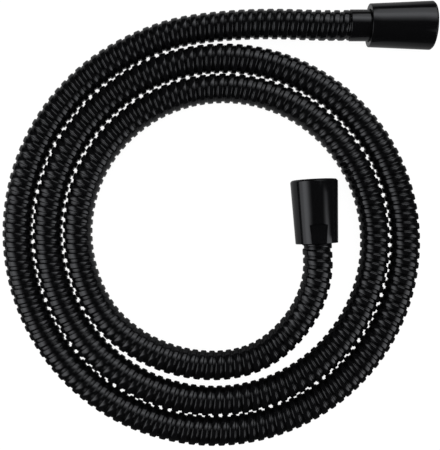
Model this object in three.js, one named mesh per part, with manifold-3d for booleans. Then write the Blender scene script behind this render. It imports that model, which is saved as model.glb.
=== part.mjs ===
// A flexible shower hose, 1.6 m long, that lies in a flat coil of almost three turns.
// Millimetres, +Z up. The origin is under the middle of the coil, on the surface that it lies on.
// Each fitting is drawn in its own frame: its axis is +Z there, and the nut's open face is at z = 0,
// so a depth is a distance from the open face towards the hose.
import * as THREE from 'three';
import { mergeVertices } from 'three/addons/utils/BufferGeometryUtils.js';
import Module from 'manifold-3d';

const wasm = await Module();
wasm.setup();

// Fits
const clearance = 0.3;

// Hose
const casingRadius = 7.5;
const casingWall = 1.4;
const innerHoseRadius = 5.6;
const innerHoseWall = 1.3;
const casingSides = 12;
const innerHoseSides = 10;

// Coil: a plain spiral that winds inwards, anticlockwise seen from above
const turnSpacing = 2 * casingRadius + clearance;
const coilRadius = 105.5;
const coilStart = 110;
const coilStep = 15;
const coilSteps = 55;
const coilCentre = [0.5, -6.45];
const coilRight = coilCentre[0] + coilRadius;
const coilTop = coilCentre[1] + coilRadius;
const coilBottom = coilCentre[1] - coilRadius;

// Union nuts, the same cone at both ends
const nutLength = 32;
const nutRimRadius = 12;
const nutNeckRadius = 10.65;
const nutChamfer = 0.4;
const socketRadius = 9.3;
const socketChamfer = 0.6;

// Wrench flats on the outlet nut
const flatDepth = 0.18;
const flatLength = 9.2;
const flatTurn = 16;

// Seals, and the flanges that they sit on
const washerDepth = 7.4;
const washerThickness = 2;
const washerRadius = socketRadius - clearance;
const washerHoleRadius = 5.5;
const flangeDepth = washerDepth + washerThickness + clearance;
const flangeThickness = 2.2;
const flangeBack = flangeDepth + flangeThickness;
const flangeRadius = socketRadius - clearance;
const flangeChamfer = 0.3;
const shoulderDepth = flangeBack + clearance;
const mouthBoreRadius = 3.4;

// Slip ring
const slipRingThickness = 1;
const slipRingDepth = flangeBack + clearance;

// Crimp sleeves
const sleeveRadius = 7.75;
const sleeveWall = 0.55;
const sleeveChamfer = 0.25;
const sleeveGripRadius = innerHoseRadius + clearance;
const sleeveStart = slipRingDepth + slipRingThickness + clearance;
const sleeveShown = 10.6;
const sleeveHidden = 1;
const handsetSleeveEnd = nutLength + sleeveShown;
const outletSleeveEnd = nutLength - sleeveHidden;
const nutHoleRadius = sleeveRadius + clearance;

// Barbed tails, which hold the inner hose
const tailBoreRadius = 2.45;
const barbRadius = 3.75;
const barbHeight = 0.45;
const barbPitch = 2.8;
const tailLength = 10.5;
const bodyRadius = sleeveRadius - sleeveWall - clearance;

// Swivel at the handset end
const stemRadius = 5.7;
const stemLength = 15.1;
const stemEnd = flangeBack + stemLength;
const stemChamfer = 0.4;
const cupRadius = stemRadius + clearance;
const cupFloor = stemEnd + clearance;
const cupFloorThickness = 2;
const cupBack = cupFloor + cupFloorThickness;
const sealSection = 0.65;
const sealRadius = cupRadius - clearance - sealSection;
const sealGrooveRadius = sealRadius - sealSection - clearance;
const sealGrooveWidth = 2 * (sealSection + clearance);
const firstSealOffset = 4.1;
const sealSpacing = 3.4;
const firstSealDepth = flangeBack + firstSealOffset;
const sealDepths = [firstSealDepth, firstSealDepth + sealSpacing];
const clipOffset = 3.2;
const clipThickness = 1;
const clipReach = 0.5;
const clipBite = 0.5;
const clipGap = 24;
const clipDepth = sealDepths[1] + sealGrooveWidth / 2 + clipOffset;
const clipGrooveWidth = clipThickness + 2 * clearance;
const clipOuterRadius = cupRadius + clipReach - clearance;
const clipInnerRadius = stemRadius - clipBite;

// Outlet tail
const outletBodyLength = 4.6;
const outletBodyEnd = flangeBack + outletBodyLength;
const funnelLength = 1;

// Faces around each turned piece
const nutFaces = 36;
const turnedFaces = 28;
const sealFaces = 8;
const clipFaces = 12;

// Where the middle of each nut's open face is, and which way its axis runs from there, in degrees.
// The handset end lies beside the coil's right and top, and the outlet end inside the coil.
const handsetPlace = { face: [coilRight + 2.4, coilTop + 0.95, nutRimRadius], heading: 180 };
const outletPlace = { face: [coilRight - 57.3, coilBottom + 134.15, nutRimRadius], heading: -87.35 };

// The hose's way from the handset end down to the coil, and from the coil up to the outlet end
const straightLength = 12;
const leadIn = [
  [coilRight - 70.2, coilTop + 1.95, casingRadius + 3],
  [coilCentre[0] + 15.3, coilTop + 2.45, casingRadius + 0.9],
  [coilCentre[0] - 3.7, coilTop + 1.25, casingRadius],
  [coilCentre[0] - 21.2, coilTop - 1.65, casingRadius],
];
const leadOut = [
  [coilCentre[0] - 43.6, coilBottom + 52.35, casingRadius],
  [coilCentre[0] - 27.2, coilBottom + 44.15, casingRadius],
  [coilCentre[0] - 3.3, coilBottom + 39.85, casingRadius],
  [coilRight - 85.1, coilBottom + 44.75, casingRadius + 0.4],
  [coilRight - 67.1, coilBottom + 59.75, casingRadius + 1.8],
  [coilRight - 58.2, coilBottom + 75.75, casingRadius + 3.7],
];

// Finishes
const blackFinish = new THREE.MeshStandardMaterial({ color: 0x131316, roughness: 0.35, metalness: 0.2 });
const brassFinish = new THREE.MeshStandardMaterial({ color: 0xb08d4a, roughness: 0.4, metalness: 0.9 });
const steelFinish = new THREE.MeshStandardMaterial({ color: 0x9a9a9c, roughness: 0.35, metalness: 0.9 });
const rubberFinish = new THREE.MeshStandardMaterial({ color: 0x1c1c1e, roughness: 0.8, metalness: 0 });
const plasticFinish = new THREE.MeshStandardMaterial({ color: 0xd9d6cc, roughness: 0.5, metalness: 0 });

// Keeps only the places of the corners and joins those that meet, so that the surface is closed
function closed(geometry) {
  geometry.deleteAttribute('normal');
  geometry.deleteAttribute('uv');
  return mergeVertices(geometry, 1e-4);
}

// A solid of revolution about +Z. The outline's points are [radius, depth]: the outer side comes
// first, towards greater depth, and then the inner side, back to the start.
function turned(outline, faces = turnedFaces) {
  const points = outline.map(([radius, depth]) => new THREE.Vector2(radius, depth));
  const geometry = new THREE.LatheGeometry([...points, points[0]], faces);
  geometry.rotateX(Math.PI / 2);
  return closed(geometry);
}

// The four outline points of a groove cut into an outer side, or into an inner side where the
// depths run back
function groove(surface, floor, depth, width) {
  return [
    [surface, depth - width / 2],
    [floor, depth - width / 2],
    [floor, depth + width / 2],
    [surface, depth + width / 2],
  ];
}

function toSolid(geometry) {
  return new wasm.Manifold(new wasm.Mesh({
    numProp: 3,
    vertProperties: Float32Array.from(geometry.attributes.position.array),
    triVerts: Uint32Array.from(geometry.index.array),
  }));
}

function toGeometry(solid) {
  const { vertProperties, triVerts } = solid.getMesh();
  const geometry = new THREE.BufferGeometry();
  geometry.setAttribute('position', new THREE.BufferAttribute(vertProperties, 3));
  geometry.setIndex(new THREE.BufferAttribute(triVerts, 1));
  return geometry;
}

// Conical union nut: a threaded socket, the shoulder that pulls on the flange, and a hole that
// slips over the crimp sleeve
function nutGeometry() {
  return turned([
    [nutRimRadius - nutChamfer, 0],
    [nutRimRadius, nutChamfer],
    [nutNeckRadius, nutLength - nutChamfer],
    [nutNeckRadius - nutChamfer, nutLength],
    [nutHoleRadius + nutChamfer, nutLength],
    [nutHoleRadius, nutLength - nutChamfer],
    [nutHoleRadius, shoulderDepth],
    [socketRadius, shoulderDepth],
    [socketRadius, socketChamfer],
    [socketRadius + socketChamfer, 0],
  ], nutFaces);
}

// The same nut with two shallow flats for a wrench at its narrow end, cut along the cone's slope
function flattedNutGeometry() {
  const slope = (nutRimRadius - nutNeckRadius) / (nutLength - 2 * nutChamfer);
  const middleDepth = nutLength - flatLength / 2;
  const flatDistance = nutNeckRadius + slope * flatLength / 2 - flatDepth;
  let nut = toSolid(nutGeometry());
  for (const side of [0, Math.PI]) {
    const cutter = new THREE.BoxGeometry(nutRimRadius, 2 * nutRimRadius, 2 * flatLength);
    cutter.translate(nutRimRadius / 2, 0, flatLength / 2);
    cutter.rotateY(-Math.atan(slope));
    cutter.translate(flatDistance, 0, middleDepth);
    cutter.rotateZ(side - THREE.MathUtils.degToRad(flatTurn));
    nut = nut.subtract(toSolid(closed(cutter)));
  }
  return toGeometry(nut);
}

function washerGeometry() {
  return turned([
    [washerRadius, washerDepth],
    [washerRadius, washerDepth + washerThickness],
    [washerHoleRadius, washerDepth + washerThickness],
    [washerHoleRadius, washerDepth],
  ]);
}

function flangeOutline(neckRadius) {
  return [
    [flangeRadius - flangeChamfer, flangeDepth],
    [flangeRadius, flangeDepth + flangeChamfer],
    [flangeRadius, flangeBack],
    [neckRadius, flangeBack],
  ];
}

// The flanged stem of the swivel, with its seal and clip grooves
function spigotGeometry() {
  return turned([
    ...flangeOutline(stemRadius),
    ...sealDepths.flatMap((depth) => groove(stemRadius, sealGrooveRadius, depth, sealGrooveWidth)),
    ...groove(stemRadius, clipInnerRadius - clearance, clipDepth, clipGrooveWidth),
    [stemRadius, stemEnd - stemChamfer],
    [stemRadius - stemChamfer, stemEnd],
    [mouthBoreRadius, stemEnd],
    [mouthBoreRadius, flangeDepth],
  ]);
}

function sealGeometry(depth) {
  const geometry = new THREE.TorusGeometry(sealRadius, sealSection, sealFaces, turnedFaces);
  geometry.translate(0, 0, depth);
  return closed(geometry);
}

// A split ring that reaches from the stem's groove into the cup's
function clipGeometry() {
  const halfGap = THREE.MathUtils.degToRad(clipGap / 2);
  const shape = new THREE.Shape();
  shape.absarc(0, 0, clipOuterRadius, halfGap, 2 * Math.PI - halfGap, false);
  shape.absarc(0, 0, clipInnerRadius, 2 * Math.PI - halfGap, halfGap, true);
  const geometry = new THREE.ExtrudeGeometry(shape, {
    depth: clipThickness, bevelEnabled: false, curveSegments: clipFaces,
  });
  geometry.translate(0, 0, clipDepth - clipThickness / 2);
  return closed(geometry);
}

function slipRingGeometry() {
  return turned([
    [nutHoleRadius - clearance, slipRingDepth],
    [nutHoleRadius - clearance, slipRingDepth + slipRingThickness],
    [stemRadius + clearance, slipRingDepth + slipRingThickness],
    [stemRadius + clearance, slipRingDepth],
  ]);
}

// Barbs that start at a depth: each has its steep side towards the fitting and slopes to the hose
function barbs(start) {
  const points = [];
  for (let depth = start + barbPitch / 2; depth + barbPitch < start + tailLength; depth += barbPitch) {
    points.push([barbRadius - barbHeight, depth], [barbRadius, depth], [barbRadius - barbHeight, depth + barbPitch]);
  }
  return points;
}

// The cup that the stem turns in, with a barbed tail behind it
function swivelBodyGeometry() {
  const tailEnd = cupBack + tailLength;
  return turned([
    [bodyRadius, sleeveStart],
    [bodyRadius, cupBack],
    [barbRadius - barbHeight, cupBack],
    ...barbs(cupBack),
    [barbRadius - barbHeight, tailEnd],
    [tailBoreRadius, tailEnd],
    [tailBoreRadius, cupFloor],
    [cupRadius, cupFloor],
    ...groove(cupRadius, cupRadius + clipReach, clipDepth, clipGrooveWidth).reverse(),
    [cupRadius, sleeveStart],
  ]);
}

// The flanged, barbed tail of the outlet end, with a funnel from its mouth to its bore
function outletTailGeometry() {
  const tailEnd = outletBodyEnd + tailLength;
  return turned([
    ...flangeOutline(bodyRadius),
    [bodyRadius, outletBodyEnd],
    [barbRadius - barbHeight, outletBodyEnd],
    ...barbs(outletBodyEnd),
    [barbRadius - barbHeight, tailEnd],
    [tailBoreRadius, tailEnd],
    [tailBoreRadius, outletBodyEnd],
    [mouthBoreRadius, outletBodyEnd - funnelLength],
    [mouthBoreRadius, flangeDepth],
  ]);
}

// A crimp sleeve: thin over the body in front of the step, thick over the hose behind it
function sleeveGeometry(end, bodyEnd) {
  return turned([
    [sleeveRadius - sleeveChamfer, sleeveStart],
    [sleeveRadius, sleeveStart + sleeveChamfer],
    [sleeveRadius, end - sleeveChamfer],
    [sleeveRadius - sleeveChamfer, end],
    [sleeveGripRadius, end],
    [sleeveGripRadius, bodyEnd + clearance],
    [sleeveRadius - sleeveWall, bodyEnd + clearance],
    [sleeveRadius - sleeveWall, sleeveStart],
  ]);
}

// A group whose +Z runs along a fitting's axis
function fittingFrame({ face, heading }) {
  const frame = new THREE.Group();
  frame.position.set(...face);
  frame.rotation.set(0, Math.PI / 2, THREE.MathUtils.degToRad(heading), 'ZYX');
  return frame;
}

// A point on a fitting's axis
function axisPoint({ face, heading }, depth) {
  const angle = THREE.MathUtils.degToRad(heading);
  return new THREE.Vector3(face[0] + depth * Math.cos(angle), face[1] + depth * Math.sin(angle), face[2]);
}

function coilPoint(step) {
  const turned = coilStep * step;
  const angle = THREE.MathUtils.degToRad(coilStart + turned);
  const radius = coilRadius - turnSpacing * turned / 360;
  return new THREE.Vector3(
    coilCentre[0] + radius * Math.cos(angle),
    coilCentre[1] + radius * Math.sin(angle),
    casingRadius,
  );
}

// A smooth way through the hose's points, with one section of the hose at each of them, so that
// the sections of neighbouring turns lie beside each other
class HoseRoute extends THREE.CatmullRomCurve3 {
  getUtoTmapping(u) {
    return u;
  }
}

// A ring of flats around the origin
function ringOutline(radius, sides) {
  return Array.from({ length: sides }, (_, index) => {
    const angle = 2 * Math.PI * index / sides;
    return new THREE.Vector2(radius * Math.cos(angle), radius * Math.sin(angle));
  });
}

function tubeGeometry(stations, radius, wall, sides) {
  const section = new THREE.Shape(ringOutline(radius, sides));
  section.holes.push(new THREE.Path(ringOutline(radius - wall, sides)));
  return closed(new THREE.ExtrudeGeometry(section, {
    steps: stations.length - 1, extrudePath: new HoseRoute(stations),
  }));
}

function addPiece(parent, name, geometry, finish) {
  const mesh = new THREE.Mesh(geometry, finish);
  mesh.name = name;
  parent.add(mesh);
}

const casingStart = handsetSleeveEnd + clearance;
const casingEnd = outletSleeveEnd + clearance;
const casingStations = [
  axisPoint(handsetPlace, casingStart),
  axisPoint(handsetPlace, casingStart + straightLength),
  ...leadIn.map((point) => new THREE.Vector3(...point)),
  ...Array.from({ length: coilSteps + 1 }, (_, step) => coilPoint(step)),
  ...leadOut.map((point) => new THREE.Vector3(...point)),
  axisPoint(outletPlace, casingEnd + straightLength),
  axisPoint(outletPlace, casingEnd),
];
const innerHoseStations = [
  axisPoint(handsetPlace, cupBack + 2 * clearance),
  ...casingStations,
  axisPoint(outletPlace, outletBodyEnd + 2 * clearance),
];

const group = new THREE.Group();
addPiece(group, 'casing', tubeGeometry(casingStations, casingRadius, casingWall, casingSides), blackFinish);
addPiece(group, 'inner_hose',
  tubeGeometry(innerHoseStations, innerHoseRadius, innerHoseWall, innerHoseSides), rubberFinish);

const handset = fittingFrame(handsetPlace);
group.add(handset);
addPiece(handset, 'handset_nut', nutGeometry(), blackFinish);
addPiece(handset, 'handset_washer', washerGeometry(), rubberFinish);
addPiece(handset, 'handset_spigot', spigotGeometry(), brassFinish);
addPiece(handset, 'o_ring_front', sealGeometry(sealDepths[0]), rubberFinish);
addPiece(handset, 'o_ring_rear', sealGeometry(sealDepths[1]), rubberFinish);
addPiece(handset, 'retaining_clip', clipGeometry(), steelFinish);
addPiece(handset, 'slip_ring', slipRingGeometry(), plasticFinish);
addPiece(handset, 'swivel_body', swivelBodyGeometry(), brassFinish);
addPiece(handset, 'handset_sleeve', sleeveGeometry(handsetSleeveEnd, cupBack), blackFinish);

const outlet = fittingFrame(outletPlace);
group.add(outlet);
addPiece(outlet, 'outlet_nut', flattedNutGeometry(), blackFinish);
addPiece(outlet, 'outlet_washer', washerGeometry(), rubberFinish);
addPiece(outlet, 'outlet_tail', outletTailGeometry(), brassFinish);
addPiece(outlet, 'outlet_sleeve', sleeveGeometry(outletSleeveEnd, outletBodyEnd), blackFinish);

export default group;
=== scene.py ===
"""A black ribbed shower hose in a flat coil, with a cone nut at each end, dressed around its frame.

Sizes are in millimetres up to the point where a mesh is made, and in metres from there on. Those of
the floor and the lamps are in metres. A fitting is drawn by radius and depth: the depth runs along its
axis from the nut's open face to the hose.
"""

import logging
import math
from collections.abc import Sequence
from dataclasses import dataclass, field
from enum import Enum

import bmesh
import bpy
import numpy as np
from mathutils import Matrix, Vector


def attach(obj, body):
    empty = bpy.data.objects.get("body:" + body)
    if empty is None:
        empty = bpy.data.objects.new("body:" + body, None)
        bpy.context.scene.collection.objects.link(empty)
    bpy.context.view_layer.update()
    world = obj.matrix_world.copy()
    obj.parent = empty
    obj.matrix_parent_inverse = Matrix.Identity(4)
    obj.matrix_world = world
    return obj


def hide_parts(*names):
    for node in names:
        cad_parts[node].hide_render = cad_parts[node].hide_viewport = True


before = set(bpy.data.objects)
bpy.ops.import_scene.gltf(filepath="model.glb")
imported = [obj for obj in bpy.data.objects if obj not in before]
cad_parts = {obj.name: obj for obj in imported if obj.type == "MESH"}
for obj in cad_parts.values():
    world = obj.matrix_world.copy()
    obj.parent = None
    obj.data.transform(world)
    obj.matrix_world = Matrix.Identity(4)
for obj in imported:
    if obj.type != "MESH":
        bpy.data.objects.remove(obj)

log = logging.getLogger("shower_hose")

MM = 0.001
FULL_TURN = 2 * math.pi
UP = Vector((0, 0, 1))
DOWN = Vector((0, 0, -1))

# The most of a side that an arc at its end takes, and then lengths in millimetres
ARC_SHARE = 0.48
TREE_WELD = 0.01
MESH_WELD = 0.004
SLIVER = 0.002
RING_GAP = 0.01

Colour = tuple[float, float, float]
Stops = Sequence[tuple[float, float]]


class Slot(Enum):
    """The record's material slots."""

    CASING = "black_casing"
    FITTINGS = "black_fittings"
    LINER = "inner_rubber"
    SEALS = "seal_rubber"
    BRASS = "brass"
    SPRING = "spring_steel"
    PLASTIC = "slip_plastic"


class Body(Enum):
    """The bodies that move on their own."""

    HOSE = "hose"
    SPIGOT = "handset_spigot"
    HANDSET_NUT = "handset_nut"
    OUTLET_NUT = "outlet_nut"


class Hand(Enum):
    """Which way a helix winds."""

    LEFT = -1
    RIGHT = 1


# Node graphs


@dataclass
class Wire:
    """A node's output socket, on which sums are written as Python expressions."""

    graph: "Graph"
    socket: bpy.types.NodeSocket

    def twin(self, name: str) -> "Wire":
        """Return another output of the same node, by its name."""
        return Wire(self.graph, self.socket.node.outputs[name])

    def __add__(self, other: "Wire | float") -> "Wire":
        """Return self + other."""
        return self.graph.math("ADD", self, other)

    __radd__ = __add__

    def __sub__(self, other: "Wire | float") -> "Wire":
        """Return self - other."""
        return self.graph.math("SUBTRACT", self, other)

    def __rsub__(self, other: "Wire | float") -> "Wire":
        """Return other - self."""
        return self.graph.math("SUBTRACT", other, self)

    def __mul__(self, other: "Wire | float") -> "Wire":
        """Return self * other."""
        return self.graph.math("MULTIPLY", self, other)

    __rmul__ = __mul__

    def __truediv__(self, other: "Wire | float") -> "Wire":
        """Return self / other."""
        return self.graph.math("DIVIDE", self, other)

    def floor(self) -> "Wire":
        """Return the next whole number below."""
        return self.graph.math("FLOOR", self)

    def ceil(self) -> "Wire":
        """Return the next whole number above."""
        return self.graph.math("CEIL", self)

    def clamp(self, low: "Wire | float" = 0.0, high: "Wire | float" = 1.0) -> "Wire":
        """Return the value kept between low and high."""
        return self.graph.math("MINIMUM", self.graph.math("MAXIMUM", self, low), high)


Value = Wire | float | int | str | tuple


@dataclass
class Graph:
    """A node tree to which nodes are added with their settings and inputs."""

    tree: bpy.types.NodeTree

    def node(
        self,
        kind: str,
        settings: dict[str, object] | None = None,
        inputs: dict[str | int, Value] | None = None,
    ) -> Wire:
        """Add a node and set it up.

        Args:
            kind: The node's type.
            settings: Its properties, set first. "stops" are a ramp's stops, and "items" the number
                of an index switch's values.
            inputs: Values or wires by the socket's name or number.

        Returns:
            The node's first output in use, or its first input where it has no output.
        """
        node = self.tree.nodes.new(kind)
        for name, value in (settings or {}).items():
            if name == "stops":
                self._set_stops(node, value)
            elif name == "items":
                while len(node.index_switch_items) < value:
                    node.index_switch_items.new()
            else:
                setattr(node, name, value)
        for key, value in (inputs or {}).items():
            self.feed(self._find(node, key), value)
        used = [socket for socket in node.outputs if socket.enabled]
        return Wire(self, (used or node.inputs)[0])

    def math(self, operation: str, *values: Value) -> Wire:
        """Add a Math node for an operation on one or more values."""
        return self.node("ShaderNodeMath", {"operation": operation}, dict(enumerate(values)))

    def vector(self, operation: str, *values: Value) -> Wire:
        """Add a Vector Math node for an operation on vectors."""
        return self.node("ShaderNodeVectorMath", {"operation": operation}, dict(enumerate(values)))

    def scaled(self, vector: Value, factor: Value) -> Wire:
        """Return a vector times a number."""
        return self.node("ShaderNodeVectorMath", {"operation": "SCALE"}, {0: vector, "Scale": factor})

    def blend(self, factor: Value, low: Value, high: Value) -> Wire:
        """Return a mix of two colours."""
        colours = {"Factor": factor, "A": low, "B": high}
        return self.node("ShaderNodeMix", {"data_type": "RGBA"}, colours)

    def ramp(self, stops: Stops, factor: Value) -> Wire:
        """Return the value of a grey ramp, whose stops are (place, value)."""
        return self.node("ShaderNodeValToRGB", {"stops": stops}, {"Fac": factor})

    def noise(self, place: Value, scale: float, detail: float) -> Wire:
        """Return a noise from 0 to 1 over a place."""
        return self.node("ShaderNodeTexNoise", inputs={"Vector": place, "Scale": scale, "Detail": detail})

    def bump(self, height: Value, strength: float, distance: float) -> Wire:
        """Return the normal of a surface with a height from 0 to 1 times a distance in millimetres."""
        inputs = {"Height": height, "Strength": strength, "Distance": distance * MM}
        return self.node("ShaderNodeBump", inputs=inputs)

    def glow(self, strength: Value) -> Wire:
        """Return white light whose strength varies."""
        light = self.scaled((1, 1, 1), strength)
        return self.node("ShaderNodeEmission", inputs={"Color": light, "Strength": 1.0})

    def welded(self, mesh: Wire) -> Wire:
        """Return a mesh whose points that meet are joined."""
        inputs = {"Geometry": mesh, "Distance": TREE_WELD * MM}
        return self.node("GeometryNodeMergeByDistance", inputs=inputs)

    @staticmethod
    def _find(node: bpy.types.Node, key: str | int) -> bpy.types.NodeSocket:
        """Return a node's input in use by its name or number."""
        if isinstance(key, int):
            return node.inputs[key]
        return next(socket for socket in node.inputs if socket.name == key and socket.enabled)

    @staticmethod
    def _set_stops(node: bpy.types.Node, stops: Stops) -> None:
        """Give a colour ramp its grey stops, each a place and a brightness."""
        elements = node.color_ramp.elements
        for place, _ in stops[1:-1]:
            elements.new(place)
        elements[0].position, elements[-1].position = stops[0][0], stops[-1][0]
        for element, (_, value) in zip(elements, stops):
            element.color = (value, value, value, 1)

    def feed(self, socket: bpy.types.NodeSocket, value: Value) -> None:
        """Link a wire to a socket, or set its value."""
        if isinstance(value, Wire):
            self.tree.links.new(value.socket, socket)
        else:
            socket.default_value = value


def cleared(owner: bpy.types.ID) -> Graph:
    """Turn on the nodes of a material, lamp or world, and return its empty graph."""
    owner.use_nodes = True
    owner.node_tree.nodes.clear()
    return Graph(owner.node_tree)


def linked(name: str, data: bpy.types.ID) -> bpy.types.Object:
    """Return a new object in the scene, which shows a mesh, lamp or camera."""
    item = bpy.data.objects.new(name, data)
    bpy.context.scene.collection.objects.link(item)
    return item


# Meshes


@dataclass(frozen=True)
class Corner:
    """A corner of an outline, in millimetres, with the radius that rounds it."""

    radius: float
    depth: float
    fillet: float = 0.0


def rounded(corners: Sequence[Corner], closed: bool = True, step: float = 20.0) -> list[Vector]:
    """Round the corners of an outline with arcs.

    Args:
        corners: The outline's corners in order.
        closed: Whether the last corner is joined to the first.
        step: The largest angle of one piece of an arc, in degrees.

    Returns:
        The points of the outline, each (radius, depth).
    """
    places = [Vector((corner.radius, corner.depth)) for corner in corners]
    points = []
    for index, corner in enumerate(corners):
        here = places[index]
        at_end = not closed and index in (0, len(corners) - 1)
        if corner.fillet == 0 or at_end:
            points.append(here)
            continue
        back = places[index - 1] - here
        ahead = places[(index + 1) % len(places)] - here
        half = back.angle(ahead) / 2
        reach = min(corner.fillet / math.tan(half), ARC_SHARE * back.length, ARC_SHARE * ahead.length)
        radius = reach * math.tan(half)
        middle = here + (back.normalized() + ahead.normalized()).normalized() * radius / math.sin(half)
        first = here + back.normalized() * reach - middle
        last = here + ahead.normalized() * reach - middle
        sweep = math.pi - 2 * half
        count = max(1, math.ceil(math.degrees(sweep) / step))
        for part in range(count + 1):
            share = part / count
            arm = math.sin((1 - share) * sweep) * first + math.sin(share * sweep) * last
            points.append(middle + arm / math.sin(sweep))
    return points


def ring_outline(radius: float, depth: float, section: float, count: int = 20) -> list[Vector]:
    """Return the round outline of an O-ring.

    Args:
        radius: From the axis to the middle of the section.
        depth: Where the ring is along the axis.
        section: The section's radius.
        count: How many points the outline has.
    """
    return [
        Vector((
            radius + section * math.cos(FULL_TURN * index / count),
            depth + section * math.sin(FULL_TURN * index / count),
        ))
        for index in range(count)
    ]


def band(outer: float, inner: float, front: float, back: float, fillet: float) -> list[Corner]:
    """Return the outline of a flat ring.

    Args:
        outer: Its outer radius.
        inner: Its inner radius.
        front: The depth of its front.
        back: The depth of its back.
        fillet: The radius of its edges.
    """
    ring = ((outer, front), (outer, back), (inner, back), (inner, front))
    return [Corner(radius, depth, fillet) for radius, depth in ring]


def groove(surface: float, floor: float, depth: float, width: float, edge: float = 0.1) -> list[Corner]:
    """Return the outline of a groove.

    Args:
        surface: The radius of the surface that it is cut into.
        floor: The radius of its floor.
        depth: Where its middle is along the axis.
        width: Its width, or minus that where the outline runs back.
        edge: The radius of its edges.
    """
    front, back = depth - width / 2, depth + width / 2
    cut = ((surface, front), (floor, front), (floor, back), (surface, back))
    return [Corner(radius, place, edge) for radius, place in cut]


def finished(name: str, mesh_data: bmesh.types.BMesh, crease: float = 35.0) -> bpy.types.Object:
    """Weld a mesh, turn its faces outwards, smooth it and make it an object.

    Args:
        name: The new object's name.
        mesh_data: The mesh, which is freed.
        crease: The angle above which an edge is sharp, in degrees.

    Returns:
        An object at the origin with its place in its mesh.
    """
    bmesh.ops.remove_doubles(mesh_data, verts=mesh_data.verts, dist=MESH_WELD * MM)
    bmesh.ops.dissolve_degenerate(mesh_data, edges=mesh_data.edges, dist=SLIVER * MM)
    bmesh.ops.recalc_face_normals(mesh_data, faces=mesh_data.faces)
    if mesh_data.calc_volume(signed=True) < 0:
        bmesh.ops.reverse_faces(mesh_data, faces=mesh_data.faces)
    open_edges = sum(1 for edge in mesh_data.edges if len(edge.link_faces) != 2)
    mesh = bpy.data.meshes.new(name)
    mesh_data.to_mesh(mesh)
    mesh_data.free()
    mesh.shade_smooth()
    mesh.set_sharp_from_angle(angle=math.radians(crease))
    piece = linked(name, mesh)
    triangles = sum(len(face.vertices) - 2 for face in mesh.polygons)
    log.info("%s: %d triangles, %d open edges", name, triangles, open_edges)
    return piece


@dataclass(frozen=True)
class Axis:
    """The axis of a fitting, from the middle of its nut's open face towards the hose."""

    face: Vector
    heading: float

    @property
    def along(self) -> Vector:
        """The direction of greater depth."""
        angle = math.radians(self.heading)
        return Vector((math.cos(angle), math.sin(angle), 0))

    @property
    def across(self) -> Vector:
        """The level direction at a right angle to the axis."""
        return UP.cross(self.along)

    def at(self, depth: float) -> Vector:
        """Return the point of the axis at a depth."""
        return self.face + depth * self.along

    def place(self, radius: float, depth: float, angle: float) -> Vector:
        """Return a point beside the axis, in millimetres.

        Args:
            radius: Its distance from the axis.
            depth: Its depth along the axis.
            angle: Its angle in radians, from straight down towards the level direction.
        """
        side = math.cos(angle) * DOWN + math.sin(angle) * self.across
        return self.at(depth) + radius * side

    def matrix(self) -> Matrix:
        """Return the axis's turn and place in metres, with its +Z along it and its +X straight down."""
        basis = Matrix((DOWN, self.along.cross(DOWN), self.along)).transposed()
        return Matrix.Translation(self.face * MM) @ basis.to_4x4()


def revolve(
    outline: Sequence[Vector],
    axis: Axis,
    faces: int = 96,
    closed: bool = True,
    sweep: float = FULL_TURN,
    start: float = 0.0,
) -> bmesh.types.BMesh:
    """Turn an outline about a fitting's axis.

    Args:
        outline: Points (radius, depth).
        axis: The axis to turn about.
        faces: How many faces go round.
        closed: Whether the outline's last point is joined to its first.
        sweep: How far the outline is turned, in radians.
        start: The angle of its first place, in radians.

    Returns:
        The mesh in metres, with its way round and along the outline as a UV map.
    """
    mesh_data = bmesh.new()
    uv_layer = mesh_data.loops.layers.uv.new("turning")
    whole = sweep >= FULL_TURN
    rings = []
    for index in range(faces if whole else faces + 1):
        angle = start + sweep * index / faces
        rings.append([mesh_data.verts.new(axis.place(x, y, angle) * MM) for x, y in outline])
    runs = [0.0]
    for index in range(len(outline)):
        runs.append(runs[-1] + (outline[(index + 1) % len(outline)] - outline[index]).length)
    stretches = len(outline) if closed else len(outline) - 1
    for index in range(faces):
        ring, following = rings[index], rings[(index + 1) % len(rings)]
        for step in range(stretches):
            ahead = (step + 1) % len(outline)
            face = mesh_data.faces.new((ring[step], ring[ahead], following[ahead], following[step]))
            ways = ((0, step), (0, step + 1), (1, step + 1), (1, step))
            for loop, (side, run) in zip(face.loops, ways):
                loop[uv_layer].uv = ((index + side) / faces, runs[run] * MM)
    if not whole:
        mesh_data.faces.new(rings[0])
        mesh_data.faces.new(reversed(rings[-1]))
    return mesh_data


# Geometry Nodes walls that follow a path


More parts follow.
